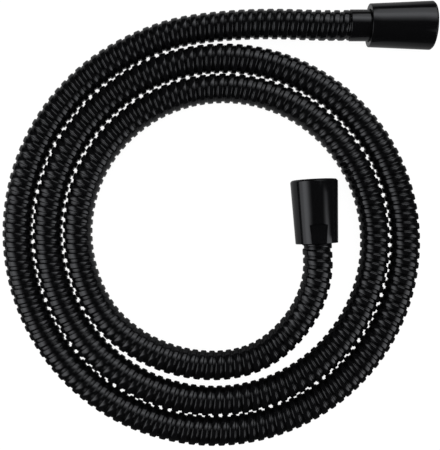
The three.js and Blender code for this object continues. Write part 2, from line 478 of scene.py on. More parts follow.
@dataclass
class PathWall:
    """A wall around a path, made by a Geometry Nodes tree on a line of points."""

    name: str
    path: Sequence[Vector]
    material: bpy.types.Material

    def sockets(self) -> dict[str, tuple[str, float | int]]:
        """Return the tree's sizes: each name with its kind of socket and its value."""
        raise NotImplementedError

    def surface(self, graph: Graph, line: Wire, sizes: dict[str, Wire]) -> Wire:
        """Add the nodes that make the wall.

        Args:
            graph: The tree.
            line: The path as a curve.
            sizes: The tree's named inputs.

        Returns:
            The wall's mesh.
        """
        raise NotImplementedError

    def build(self) -> bmesh.types.BMesh:
        """Grow the wall and return it as a plain mesh in metres."""
        line_mesh = bpy.data.meshes.new(self.name)
        corners = [point * MM for point in self.path]
        line_mesh.from_pydata(corners, [(i, i + 1) for i in range(len(corners) - 1)], [])
        host = linked(self.name, line_mesh)

        tree = bpy.data.node_groups.new(self.name, "GeometryNodeTree")
        tree.interface.new_socket("Path", in_out="INPUT", socket_type="NodeSocketGeometry")
        tree.interface.new_socket("Wall", in_out="OUTPUT", socket_type="NodeSocketGeometry")
        identifiers = {}
        for name, (kind, _) in self.sockets().items():
            item = tree.interface.new_socket(name, in_out="INPUT", socket_type=kind)
            identifiers[name] = item.identifier
        finish = tree.interface.new_socket("Finish", in_out="INPUT", socket_type="NodeSocketMaterial")

        graph = Graph(tree)
        given = graph.node("NodeGroupInput")
        sizes = {name: given.twin(name) for name in identifiers}
        curve = graph.node("GeometryNodeMeshToCurve", inputs={"Mesh": given})
        line = graph.node("GeometryNodeSetCurveNormal", {"mode": "Z_UP"}, {"Curve": curve})
        wall = self.surface(graph, line, sizes)
        whole = graph.node("GeometryNodeRealizeInstances", inputs={"Geometry": wall})
        dressed = graph.node(
            "GeometryNodeSetMaterial", inputs={"Geometry": whole, "Material": given.twin("Finish")}
        )
        graph.node("NodeGroupOutput", inputs={"Wall": dressed})

        modifier = host.modifiers.new(self.name, "NODES")
        modifier.node_group = tree
        for name, (_, value) in self.sockets().items():
            modifier[identifiers[name]] = value
        modifier[finish.identifier] = self.material

        depsgraph = bpy.context.evaluated_depsgraph_get()
        grown = bpy.data.meshes.new_from_object(host.evaluated_get(depsgraph), depsgraph=depsgraph)
        host.modifiers.remove(modifier)
        mesh_data = bmesh.new()
        mesh_data.from_mesh(grown)
        bpy.data.meshes.remove(grown)
        bpy.data.objects.remove(host)
        bpy.data.meshes.remove(line_mesh)
        return mesh_data

    @staticmethod
    def grid(graph: Graph, columns: Value, rows: Value) -> tuple[Wire, Wire, Wire]:
        """Add a grid, with the number of each of its points' column and row.

        Args:
            graph: The tree.
            columns: How many points there are along the grid.
            rows: How many points each column has.

        Returns:
            The grid's mesh, the column and the row.
        """
        mesh = graph.node("GeometryNodeMeshGrid", inputs={"Vertices X": columns, "Vertices Y": rows})
        index = graph.node("GeometryNodeInputIndex")
        column = ((index + 0.5) / rows).floor()
        return mesh, column, index - column * rows

    @staticmethod
    def around(graph: Graph, mesh: Wire, line: Wire, along: Wire, radius: Wire, angle: Wire) -> Wire:
        """Wrap a mesh around the path.

        Args:
            graph: The tree.
            mesh: The mesh whose points are placed.
            line: The path as a curve.
            along: How far along the path each point lies.
            radius: How far from the path it lies.
            angle: Its angle about the path, from the level side.

        Returns:
            The mesh in its place.
        """
        spot = graph.node("GeometryNodeSampleCurve", {"mode": "LENGTH"}, {"Curves": line, "Length": along})
        place, tangent, level = spot.twin("Position"), spot.twin("Tangent"), spot.twin("Normal")
        upright = graph.vector("CROSS_PRODUCT", tangent, level)
        level_part = graph.scaled(level, radius * graph.math("COSINE", angle))
        upright_part = graph.scaled(upright, radius * graph.math("SINE", angle))
        target = graph.vector("ADD", place, graph.vector("ADD", level_part, upright_part))
        return graph.node("GeometryNodeSetPosition", inputs={"Geometry": mesh, "Position": target})


@dataclass
class HelicalWall(PathWall):
    """A wall wound from one profiled strip, whose turns share their edges: ribs, or a thread.

    The profile's points are (share of the pitch, radius). Towards an end of the path the radius goes
    to end_radius, and past the end it goes to cap_radius within one pitch, which closes the wall.
    The lag's points are (share of the length, how far the turns there have slipped along it). The
    strip starts and ends some spare turns beyond the path.
    """

    profile: Stops
    pitch: float
    hand: Hand
    faces: int
    end_radius: float
    cap_radius: float
    fade: float
    lining_step: float | None = None
    lag: Stops = ((0.0, 0.0), (1.0, 0.0))
    spare_turns: int = 2

    def sockets(self) -> dict[str, tuple[str, float | int]]:
        """Return the wall's sizes in metres."""
        return {
            "Pitch": ("NodeSocketFloat", self.pitch * MM),
            "Hand": ("NodeSocketFloat", float(self.hand.value)),
            "Faces": ("NodeSocketInt", self.faces),
            "End Radius": ("NodeSocketFloat", self.end_radius * MM),
            "Cap Radius": ("NodeSocketFloat", self.cap_radius * MM),
            "Fade": ("NodeSocketFloat", self.fade * MM),
            "Lining Step": ("NodeSocketFloat", (self.lining_step or 1.0) * MM),
            "Greatest Lag": ("NodeSocketFloat", self.greatest_lag * MM),
        }

    @property
    def greatest_lag(self) -> float:
        """The lag that a value of 1 on the ramp stands for."""
        return max(lag for _, lag in self.lag) or 1.0

    def surface(self, graph: Graph, line: Wire, sizes: dict[str, Wire]) -> Wire:
        """Add the wound strip and, where it has one, the plain lining inside it."""
        rows = len(self.profile) + 1
        length = graph.node("GeometryNodeCurveLength", inputs={"Curve": line})
        pitch, faces = sizes["Pitch"], sizes["Faces"]
        turns = (length / pitch).ceil() + 2 * self.spare_turns
        mesh, column, row = self.grid(graph, turns * faces + 1, rows)
        shares = [share for share, _ in self.profile] + [1.0]
        radii = [radius * MM for _, radius in self.profile] + [self.profile[0][1] * MM]
        share = self._row_value(graph, row, shares)
        ribbed = self._row_value(graph, row, radii)
        even = (column / faces - self.spare_turns + share) * pitch
        slipped = graph.ramp([(place, lag / self.greatest_lag) for place, lag in self.lag], even / length)
        run = even + slipped * sizes["Greatest Lag"]
        inside = graph.math("MINIMUM", run, length - run)
        shown = (inside / sizes["Fade"]).clamp()
        past = (0 - inside / pitch).clamp()
        end, cap = sizes["End Radius"], sizes["Cap Radius"]
        radius = end + (ribbed - end) * shown + (cap - end) * past
        angle = column / faces * FULL_TURN * sizes["Hand"]
        wound = self.around(graph, mesh, line, run.clamp(0.0, length), radius, angle)
        highest = max(radii)
        hollow = ((highest - radius) / (highest - min(radii))).clamp()
        # Each point's depth in the rib, which the casing paint uses for its painted groove shade
        wound = graph.node(
            "GeometryNodeStoreNamedAttribute",
            {"data_type": "FLOAT", "domain": "POINT"},
            {"Geometry": wound, "Name": "rib_depth", "Value": hollow},
        )
        if self.lining_step is None:
            return graph.welded(wound)
        steps = (length / sizes["Lining Step"]).ceil()
        tube, station, side = self.grid(graph, steps + 1, faces + 1)
        lining = self.around(graph, tube, line, station / steps * length, cap, side / faces * FULL_TURN)
        both = graph.node("GeometryNodeJoinGeometry", inputs={0: lining})
        graph.tree.links.new(wound.socket, both.socket.node.inputs[0])
        return graph.welded(both)

    @staticmethod
    def _row_value(graph: Graph, row: Wire, values: Sequence[float]) -> Wire:
        """Return a value for each row of the grid.

        Args:
            graph: The tree.
            row: The number of each point's row.
            values: The rows' values in order.
        """
        inputs = {"Index": row} | {str(index): value for index, value in enumerate(values)}
        settings = {"data_type": "FLOAT", "items": len(values)}
        return graph.node("GeometryNodeIndexSwitch", settings, inputs)


@dataclass
class PlainTube(PathWall):
    """A smooth pipe with square ends along the path."""

    outer_radius: float
    inner_radius: float
    faces: int
    step: float

    def sockets(self) -> dict[str, tuple[str, float | int]]:
        """Return the pipe's sizes in metres."""
        return {
            "Outer Radius": ("NodeSocketFloat", self.outer_radius * MM),
            "Inner Radius": ("NodeSocketFloat", self.inner_radius * MM),
            "Faces": ("NodeSocketInt", self.faces),
            "Step": ("NodeSocketFloat", self.step * MM),
        }

    def surface(self, graph: Graph, line: Wire, sizes: dict[str, Wire]) -> Wire:
        """Add one sheet that runs out along the outer side and back along the inner one."""
        length = graph.node("GeometryNodeCurveLength", inputs={"Curve": line})
        steps = (length / sizes["Step"]).ceil()
        sides = sizes["Faces"] + 1
        mesh, station, side = self.grid(graph, steps * 2 + 3, sides)
        back = graph.math("GREATER_THAN", station, steps + 0.5)
        home = graph.math("GREATER_THAN", station, steps * 2 + 1.5)
        inner = back - home
        out_run = (station / steps).clamp()
        back_run = ((steps * 2 + 1 - station) / steps).clamp()
        along = (out_run + (back_run - out_run) * back) * length
        outer_radius, inner_radius = sizes["Outer Radius"], sizes["Inner Radius"]
        radius = outer_radius + (inner_radius - outer_radius) * inner
        wall = self.around(graph, mesh, line, along, radius, side / sizes["Faces"] * FULL_TURN)
        return graph.welded(wall)


# Finishes


def opaque(colour: Colour, gain: float = 1.0) -> tuple[float, ...]:
    """Return a colour times a gain, with its alpha."""
    return (*[gain * part for part in colour], 1.0)


@dataclass(frozen=True)
class Finish:
    """What a surface is made of."""

    name: str

    def sockets(self, graph: Graph, place: Wire) -> dict[str, Value]:
        """Return what the surface shader gets, by the names of its inputs.

        Args:
            graph: The material's graph.
            place: The place on the object.
        """
        raise NotImplementedError

    def material(self) -> bpy.types.Material:
        """Make the material."""
        material = bpy.data.materials.new(self.name)
        material.use_nodes = True
        graph = Graph(material.node_tree)
        shader = material.node_tree.nodes["Principled BSDF"]
        place = graph.node("ShaderNodeTexCoord").twin("Object")
        for name, value in self.sockets(graph, place).items():
            graph.feed(shader.inputs[name], value)
        return material


@dataclass(frozen=True)
class BlackLacquer(Finish):
    """Glossy black paint on metal, with a faint orange peel, and on a ribbed piece painted shade in the
    grooves.
    """

    ribbed: bool = False
    colour: Colour = (0.0025, 0.0025, 0.0028)
    pale_gain: float = 1.5
    # Painted shade with some dust: the darker black that the grooves between the ribs are painted
    groove_colour: Colour = (0.0010, 0.0010, 0.0012)
    sheen_tint: Colour = (0.93, 0.95, 1.0)
    refraction: float = 1.5
    roughness: float = 0.12
    unevenness: float = 0.04
    groove_dullness: float = 0.12
    cloud_scale: float = 55.0
    peel_scale: float = 900.0
    peel_strength: float = 0.5
    peel_height: float = 0.004

    def sockets(self, graph: Graph, place: Wire) -> dict[str, Value]:
        """Return the paint, which is duller in the grooves between the ribs and darker there by painted
        shade, with some dust.
        """
        cloud = graph.noise(place, self.cloud_scale, 3.0)
        peel = graph.noise(place, self.peel_scale, 2.0)
        shade = graph.blend(cloud, opaque(self.colour), opaque(self.colour, self.pale_gain))
        rough = self.roughness + (cloud - 0.5) * self.unevenness
        if self.ribbed:
            depth = graph.node("ShaderNodeAttribute", {"attribute_name": "rib_depth"}).twin("Fac")
            # Painted shade with some dust: the base colour darkens towards the floor of each groove
            shade = graph.blend(depth, shade, opaque(self.groove_colour))
            rough = rough + depth * self.groove_dullness
        return {
            "Base Color": shade,
            "Roughness": rough,
            "Normal": graph.bump(peel, self.peel_strength, self.peel_height),
            "IOR": self.refraction,
            "Specular Tint": opaque(self.sheen_tint),
        }


@dataclass(frozen=True)
class Rubber(Finish):
    """Dull black rubber with a fine grain."""

    colour: Colour = (0.012, 0.012, 0.013)
    pale_gain: float = 2.2
    roughness: float = 0.62
    unevenness: float = 0.2
    cloud_scale: float = 140.0
    grain_scale: float = 2600.0
    grain_strength: float = 0.6
    grain_height: float = 0.02

    def sockets(self, graph: Graph, place: Wire) -> dict[str, Value]:
        """Return the rubber."""
        grain = graph.noise(place, self.grain_scale, 3.0)
        cloud = graph.noise(place, self.cloud_scale, 2.0)
        return {
            "Base Color": graph.blend(cloud, opaque(self.colour), opaque(self.colour, self.pale_gain)),
            "Roughness": self.roughness + (cloud - 0.5) * self.unevenness,
            "Normal": graph.bump(grain, self.grain_strength, self.grain_height),
        }


@dataclass(frozen=True)
class TurnedMetal(Finish):
    """Bare metal from a lathe, stained in patches, with fine marks that run round it."""

    colour: Colour = (0.69, 0.47, 0.18)
    stain: Colour = (0.50, 0.32, 0.11)
    roughness: float = 0.24
    marks_per_mm: float = 9.0
    marks_round: float = 2.0
    mark_strength: float = 0.4
    mark_height: float = 0.01
    mark_dullness: float = 0.16
    cloud_scale: float = 220.0
    cloud_dullness: float = 0.08
    stain_stops: tuple[tuple[float, float], ...] = ((0.42, 0.0), (0.72, 1.0))

    def sockets(self, graph: Graph, place: Wire) -> dict[str, Value]:
        """Return the metal."""
        way = graph.node("ShaderNodeUVMap", {"uv_map": "turning"})
        stretch = (self.marks_round, self.marks_per_mm / MM, 1.0)
        round_way = graph.node("ShaderNodeMapping", inputs={"Vector": way, "Scale": stretch})
        marks = graph.noise(round_way, 1.0, 3.0)
        cloud = graph.noise(place, self.cloud_scale, 4.0)
        patches = graph.ramp(self.stain_stops, cloud)
        return {
            "Base Color": graph.blend(patches, opaque(self.colour), opaque(self.stain)),
            "Roughness": self.roughness + (marks - 0.5) * self.mark_dullness + cloud * self.cloud_dullness,
            "Normal": graph.bump(marks, self.mark_strength, self.mark_height),
            "Metallic": 1.0,
        }


@dataclass(frozen=True)
class MouldedPlastic(Finish):
    """Natural moulded plastic with a soft sheen."""

    colour: Colour = (0.66, 0.63, 0.55)
    deep_gain: float = 0.9
    roughness: float = 0.38
    unevenness: float = 0.1
    cloud_scale: float = 300.0
    cloud_strength: float = 0.2
    cloud_height: float = 0.02

    def sockets(self, graph: Graph, place: Wire) -> dict[str, Value]:
        """Return the plastic."""
        cloud = graph.noise(place, self.cloud_scale, 3.0)
        return {
            "Base Color": graph.blend(cloud, opaque(self.colour, self.deep_gain), opaque(self.colour)),
            "Roughness": self.roughness + (cloud - 0.5) * self.unevenness,
            "Normal": graph.bump(cloud, self.cloud_strength, self.cloud_height),
        }


@dataclass
class Finishes:
    """The material of each slot, made once."""

    materials: dict[Slot, bpy.types.Material] = field(default_factory=dict)

    def __post_init__(self) -> None:
        """Make the materials."""
        steel = TurnedMetal(
            "spring_steel", colour=(0.56, 0.56, 0.58), stain=(0.42, 0.41, 0.42),
            roughness=0.3, marks_per_mm=4.0,
        )
        looks = {
            Slot.CASING: BlackLacquer("black_strip", ribbed=True),
            Slot.FITTINGS: BlackLacquer("black_nut_paint"),
            Slot.LINER: Rubber("liner_rubber", roughness=0.5),
            Slot.SEALS: Rubber("seal_rubber"),
            Slot.BRASS: TurnedMetal("turned_brass"),
            Slot.SPRING: steel,
            Slot.PLASTIC: MouldedPlastic("slip_plastic"),
        }
        for slot, look in looks.items():
            self.materials[slot] = look.material()

    def dress(self, piece: bpy.types.Object, slot: Slot, body: Body, node: str) -> None:
        """Give a piece its material and its body, and hide the CAD node that it stands for.

        Args:
            piece: The finished piece.
            slot: The record's slot that it takes its finish from.
            body: The body that it moves with.
            node: The CAD node that it replaces.
        """
        piece.data.materials.clear()
        piece.data.materials.append(self.materials[slot])
        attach(piece, body.value)
        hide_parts(node)


# The hose


@dataclass
class Route:
    """The middle line of the hose, from the handset end to the outlet end."""

    handset: Axis
    outlet: Axis
    handset_casing: float = 42.9
    outlet_casing: float = 31.3
    straight: float = 12.0
    coil_centre: tuple[float, float] = (0.8, -6.65)
    coil_radius: float = 105.5
    turn_spacing: float = 15.3
    coil_height: float = 7.5
    coil_start: float = 110.0
    coil_step: float = 15.0
    coil_steps: int = 55
    lead_in: tuple[tuple[float, float, float], ...] = (
        (35.8, 101.0, 10.5),
        (15.8, 101.5, 8.4),
        (-3.2, 100.3, 7.5),
        (-20.7, 97.4, 7.5),
    )
    lead_out: tuple[tuple[float, float, float], ...] = (
        (-43.1, -59.6, 7.5),
        (-26.7, -67.8, 7.5),
        (-2.8, -72.1, 7.5),
        (20.9, -67.2, 7.9),
        (38.9, -52.2, 9.3),
        (47.8, -36.2, 11.2),
    )

    def coil_point(self, step: int) -> Vector:
        """Return a point of the spiral."""
        turned = self.coil_step * step
        angle = math.radians(self.coil_start + turned)
        radius = self.coil_radius - self.turn_spacing * turned / 360
        x, y = self.coil_centre
        return Vector((x + radius * math.cos(angle), y + radius * math.sin(angle), self.coil_height))

    def line(self, first_depth: float, last_depth: float, gap: float = 1.0) -> list[Vector]:
        """Return the line between two depths, one in each fitting.

        Args:
            first_depth: The depth in the handset fitting where the line starts.
            last_depth: The depth in the outlet fitting where it ends.
            gap: The distance between its points.

        Returns:
            Points in millimetres on one smooth curve.
        """
        stations = [self.handset.at(first_depth), self.handset.at(self.handset_casing + self.straight)]
        stations += [Vector(point) for point in self.lead_in]
        stations += [self.coil_point(step) for step in range(self.coil_steps + 1)]
        stations += [Vector(point) for point in self.lead_out]
        stations += [self.outlet.at(self.outlet_casing + self.straight), self.outlet.at(last_depth)]
        return self._smooth(stations, self.handset.along, -self.outlet.along, gap)

    @staticmethod
    def _smooth(stations: Sequence[Vector], start: Vector, end: Vector, gap: float) -> list[Vector]:
        """Run a smooth curve through points, with its direction given at both ends.

        Args:
            stations: The points that the curve runs through.
            start: Its direction at the first point.
            end: Its direction at the last point.
            gap: The distance between the points returned.

        Returns:
            Points on the curve.
        """
        places = np.array([tuple(point) for point in stations])
        spans = np.linalg.norm(np.diff(places, axis=0), axis=1)
        slopes = np.diff(places, axis=0) / spans[:, None]
        count = len(places)
        system = np.eye(count)
        wanted = np.zeros((count, 3))
        wanted[0], wanted[-1] = start, end
        for index in range(1, count - 1):
            before, after = spans[index - 1], spans[index]
            system[index, index - 1:index + 2] = (after, 2 * (before + after), before)
            wanted[index] = 3 * (after * slopes[index - 1] + before * slopes[index])
        tangents = np.linalg.solve(system, wanted)
        points = []
        for index, span in enumerate(spans):
            steps = max(1, round(span / gap))
            for share in np.arange(steps) / steps:
                rest = 1 - share
                points.append(Vector(
                    (1 + 2 * share) * rest**2 * places[index]
                    + share * rest**2 * span * tangents[index]
                    + (3 - 2 * share) * share**2 * places[index + 1]
                    - share**2 * rest * span * tangents[index + 1]
                ))
        points.append(Vector(places[-1]))
        return points


@dataclass
class Hose:
    """The ribbed casing and the rubber hose inside it.

    The casing and the liner start at depths of the handset fitting and end at depths of the outlet
    one. The rib_lag points are (share of the casing's length, how far the ribs there have slipped).
    """

    route: Route
    finishes: Finishes
    casing_start: float = 41.95
    casing_end: float = 31.3
    casing_diameter: float = 15.0
    rib_pitch: float = 4.71
    rib_lag: tuple[tuple[float, float], ...] = (
        (0.000, 0.0), (0.094, 1.5), (0.148, 0.7), (0.200, 0.7), (0.251, 1.6), (0.302, 2.2), (0.351, 2.3),
        (0.400, 1.9), (0.447, 1.1), (0.493, 0.5), (0.539, 0.0), (0.583, 0.0), (0.627, 1.0), (0.669, 1.9),
        (0.711, 2.2), (0.751, 2.0), (0.791, 1.3), (0.829, 0.8), (0.867, 0.5), (0.903, 0.7), (1.000, 0.9),
    )
    wall_radius: float = 6.1
    end_radius: float = 6.9
    faces: int = 22
    liner_start: float = 29.9
    liner_end: float = 17.1
    liner_radius: float = 5.6
    liner_wall: float = 1.3
    rib_profile: tuple[tuple[float, float], ...] = (
        (0.00, 7.20), (0.03, 7.40), (0.09, 7.50), (0.49, 7.50), (0.56, 7.43), (0.60, 7.20),
        (0.61, 6.86), (0.65, 6.70), (0.71, 6.66), (0.86, 6.66), (0.89, 6.44), (0.95, 6.44),
    )

    def casing(self, far_pieces: Sequence[bpy.types.Object]) -> None:
        """Args:
            far_pieces: The pieces of the outlet end; not used.
        """
        line = self.route.line(self.casing_start, self.casing_end)
        wall = HelicalWall(
            "ribbed_casing", line, self.finishes.materials[Slot.CASING],
            profile=self.rib_profile, pitch=self.rib_pitch, hand=Hand.LEFT, faces=self.faces,
            end_radius=self.end_radius, cap_radius=self.wall_radius, fade=0.5, lining_step=5.0,
            lag=self.rib_lag,
        )
        piece = finished("ribbed_casing", wall.build(), crease=50)
        self.finishes.dress(piece, Slot.CASING, Body.HOSE, "casing")

    def liner(self) -> None:
        """Make the smooth rubber hose inside the casing."""
        tube = PlainTube(
            "rubber_liner", self.route.line(self.liner_start, self.liner_end),
            self.finishes.materials[Slot.LINER], outer_radius=self.liner_radius,
            inner_radius=self.liner_radius - self.liner_wall, faces=24, step=4.0,
        )
        piece = finished("rubber_liner", tube.build())
        self.finishes.dress(piece, Slot.LINER, Body.HOSE, "inner_hose")


# The fittings


@dataclass
class UnionNut:
    """A cone nut with an inside thread, which slips over the crimp sleeve."""

    name: str
    node: str
    axis: Axis
    body: Body
    finishes: Finishes
    flatted: bool = False
    length: float = 32.0
    rim_radius: float = 12.0
    neck_radius: float = 10.65
    lip_length: float = 0.9
    lip_depth: float = 0.75
    shoulder_depth: float = 12.2
    socket_radius: float = 9.32
    hole_radius: float = 8.05
    thread_pitch: float = 1.814
    thread_height: float = 1.1
    thread_start: float = 1.2
    thread_end: float = 6.9
    flat_distance: float = 10.07
    flat_start: float = 22.75
    flat_slope: float = 60.0
    flat_sides: tuple[float, float] = (22.5, 45.0)
    flat_slack: float = 0.001
    crease_reach: tuple[float, float] = (1.0, 0.3)
    neck_band: float = 4.5
    side_depths: tuple[float, ...] = (17.0, 12.0, 7.0)
    faces: int = 192

    @property
    def slope(self) -> float:
        """How much the cone narrows for each millimetre of depth."""
        return (self.rim_radius - self.neck_radius) / self.length

    def cone_radius(self, depth: float) -> float:
        """Return the outside radius at a depth."""
        return self.rim_radius - self.slope * depth

    def flat_half(self, depth: float) -> float:
        """Return half the angle that a flat takes at a depth, in radians."""
        return math.acos(self.flat_distance / self.cone_radius(depth))

    def ramp_edge(self, offset: float) -> float:
        """Return the depth where a flat's ramp meets the cone.

        Args:
            offset: The angle from the middle of the flat in radians.
        """
        rise = math.tan(math.radians(self.flat_slope))
        over = self.rim_radius * math.cos(offset) - self.flat_distance
        return (self.flat_start * rise - over) / (rise - self.slope * math.cos(offset))

    def shell(self) -> bmesh.types.BMesh:
        """Return everything but the thread, from its inner end round to its outer end."""
        socket, hole = self.socket_radius, self.hole_radius
        mouth = socket + self.thread_start
        outline = rounded([
            Corner(socket, self.thread_end),
            Corner(socket, self.shoulder_depth, 0.2),
            Corner(hole, self.shoulder_depth, 0.2),
            Corner(hole, self.length, 0.4),
            Corner(self.cone_radius(self.length), self.length, 0.28),
            *(Corner(self.cone_radius(depth), depth) for depth in self.ring_depths()),
            Corner(self.cone_radius(self.lip_length), self.lip_length, 0.3),
            Corner(self.cone_radius(0) - self.lip_depth, 0, 0.2),
            Corner(mouth, 0, 0.1),
            Corner(socket, self.thread_start),
        ], closed=False)
        return revolve(outline, self.axis, self.faces, closed=False)

    def ring_depths(self) -> list[float]:
        """Return the depths of the rings of points on the cone, from its narrow end."""
        neck = self.length - self.neck_band
        return [neck, self.flat_start, self.flat_start - RING_GAP, *self.side_depths]

    def thread(self) -> bmesh.types.BMesh:
        """Return the inside thread."""
        low, high = self.socket_radius, self.socket_radius + self.thread_height
        middle = (low + high) / 2
        wall = HelicalWall(
            f"{self.name}_thread", [self.axis.at(self.thread_start), self.axis.at(self.thread_end)],
            self.finishes.materials[Slot.FITTINGS],
            profile=(
                (0.00, low), (0.14, low), (0.22, low + 0.12), (0.34, middle), (0.48, high - 0.1),
                (0.56, high), (0.66, high - 0.1), (0.80, middle), (0.92, low + 0.12),
            ),
            pitch=self.thread_pitch, hand=Hand.RIGHT, faces=self.faces,
            end_radius=low, cap_radius=low, fade=0.9,
        )
        return wall.build()

    def build(self) -> bpy.types.Object:
        """Make the nut."""
        mesh_data = self.shell()
        thread = bpy.data.meshes.new(self.name)
        threaded = self.thread()
        threaded.to_mesh(thread)
        threaded.free()
        mesh_data.from_mesh(thread)
        bpy.data.meshes.remove(thread)
        if self.flatted:
            self.mill_flats(mesh_data)
        piece = finished(self.name, mesh_data)
        if self.flatted:
            self.crease_flats(piece.data)
        self.finishes.dress(piece, Slot.FITTINGS, self.body, self.node)
        return piece

    def mill_flats(self, mesh_data: bmesh.types.BMesh) -> None:
        """Sink two wrench flats into the narrow end, parallel to the axis, each with a ramp at its start.

        The points beside a flat's edge are drawn along with it, and those further round stay.

        Args:
            mesh_data: The nut's mesh, in metres.
        """
        place = self.axis.matrix()
        to_nut = place.inverted()
        edge, still = (math.radians(side) for side in self.flat_sides)
        skin = (self.hole_radius + self.flat_distance) / 2
        for vertex in mesh_data.verts:
            x, y, depth = (to_nut @ vertex.co) / MM
            radius, angle = math.hypot(x, y), math.atan2(y, x)
            middle = math.pi * round(angle / math.pi)
            offset = angle - middle
            if radius < skin or depth < self.flat_start - 2 * RING_GAP or abs(offset) > still:
                continue
            half = self.flat_half(max(depth, self.flat_start))
            on_flat = abs(offset) < edge + self.flat_slack
            if on_flat:
                offset *= half / edge
            else:
                beside = half + (abs(offset) - edge) * (still - half) / (still - edge)
                offset = math.copysign(beside, offset)
            if on_flat and depth < self.flat_start - RING_GAP / 2:
                depth = min(depth, self.ramp_edge(offset))
                radius = self.cone_radius(depth)
            elif on_flat:
                radius *= self.flat_distance / (self.cone_radius(depth) * math.cos(offset))
            angle = middle + offset
            vertex.co = place @ (Vector((radius * math.cos(angle), radius * math.sin(angle), depth)) * MM)

    def crease_flats(self, mesh: bpy.types.Mesh, crease: float = 5.0) -> None:
        """Make the edges of the flats and their ramps sharp.

        Args:
            mesh: The nut's mesh.
            crease: The angle above which an edge there is sharp, in degrees.
        """
        to_nut = self.axis.matrix().inverted()
        before, short = self.crease_reach
        low = (self.flat_start - before) * MM
        high = (self.length - short) * MM
        mesh_data = bmesh.new()
        mesh_data.from_mesh(mesh)
        for edge in mesh_data.edges:
            depth = min((to_nut @ vertex.co).z for vertex in edge.verts)
            if low < depth < high and edge.calc_face_angle(0) > math.radians(crease):
                edge.smooth = False
        mesh_data.to_mesh(mesh)
        mesh_data.free()


@dataclass
class Fitting:
    """The sizes that both ends of the hose share, and how their turned pieces are made."""

    axis: Axis
    finishes: Finishes
    washer_depth: float = 7.4
    washer_thickness: float = 2.0
    washer_radius: float = 9.0
    washer_hole: float = 5.5
    flange_depth: float = 9.7
    flange_back: float = 11.9
    flange_radius: float = 9.0
    mouth_radius: float = 3.4
    sleeve_start: float = 13.5
    sleeve_radius: float = 7.75
    sleeve_wall: float = 0.55
    sleeve_grip: float = 5.9
    body_radius: float = 6.9
    tail_bore: float = 2.45
    tail_length: float = 10.5
    barb_radius: float = 3.75
    barb_height: float = 0.45
    barb_pitch: float = 2.8
    soft_edge: float = 0.25
    sleeve_gap: float = 0.3
    pieces: list[bpy.types.Object] = field(default_factory=list)

    def add(self, name: str, mesh_data: bmesh.types.BMesh, slot: Slot, body: Body, node: str) -> None:
        """Finish a piece and keep it.

        Args:
            name: The piece's name.
            mesh_data: Its mesh.
            slot: The slot that it takes its finish from.
            body: The body that it moves with.
            node: The CAD node that it replaces.
        """
        piece = finished(name, mesh_data)
        self.finishes.dress(piece, slot, body, node)
        self.pieces.append(piece)

    def turned(self, corners: Sequence[Corner], faces: int = 80) -> bmesh.types.BMesh:
        """Return the mesh that an outline makes when it turns about the axis.

        Args:
            corners: The outline's corners.
            faces: How many faces go round.
        """
        return revolve(rounded(corners), self.axis, faces)

    def washer(self, name: str, body: Body, node: str) -> None:
        """Make the sealing washer, with soft edges."""
        back = self.washer_depth + self.washer_thickness
        outline = band(self.washer_radius, self.washer_hole, self.washer_depth, back, self.soft_edge)
        self.add(name, self.turned(outline), Slot.SEALS, body, node)

    def sleeve(self, name: str, node: str, end: float, body_end: float) -> None:
        """Make the crimp sleeve, thin over the fitting's body and thick over the hose.

        Args:
            name: The piece's name.
            node: The CAD node that it replaces.
            end: The depth of its far end.
            body_end: The depth where the fitting's body ends in it.
        """
        inner = self.sleeve_radius - self.sleeve_wall
        step = body_end + self.sleeve_gap
        mesh_data = self.turned([
            Corner(self.sleeve_radius, self.sleeve_start, 0.25),
            Corner(self.sleeve_radius, end, 0.45),
            Corner(self.sleeve_grip, end, 0.3),
            Corner(self.sleeve_grip, step),
            Corner(inner, step),
            Corner(inner, self.sleeve_start, 0.1),
        ], faces=96)
        self.add(name, mesh_data, Slot.FITTINGS, Body.HOSE, node)

    def barbs(self, start: float) -> list[Corner]:
        """Return the outline of a tail's barbs and its end.

        Args:
            start: The depth where the tail starts.
        """
        root = self.barb_radius - self.barb_height
        depth = start + self.barb_pitch / 2
        corners = [Corner(root, start, 0.15), Corner(root, depth, 0.06)]
        while depth + self.barb_pitch < start + self.tail_length:
            corners.append(Corner(self.barb_radius, depth, 0.06))
            depth += self.barb_pitch
            corners.append(Corner(root, depth, 0.06))
        end = start + self.tail_length
        corners += [Corner(root, end, 0.3), Corner(self.tail_bore, end, 0.2)]
        return corners

    def flange(self, neck_radius: float) -> list[Corner]:
        """Return the outline of the flange that the nut pulls on.

        Args:
            neck_radius: The radius of the neck behind it.
        """
        return [
            Corner(self.flange_radius, self.flange_depth, 0.3),
            Corner(self.flange_radius, self.flange_back, 0.15),
            Corner(neck_radius, self.flange_back, 0.15),
        ]


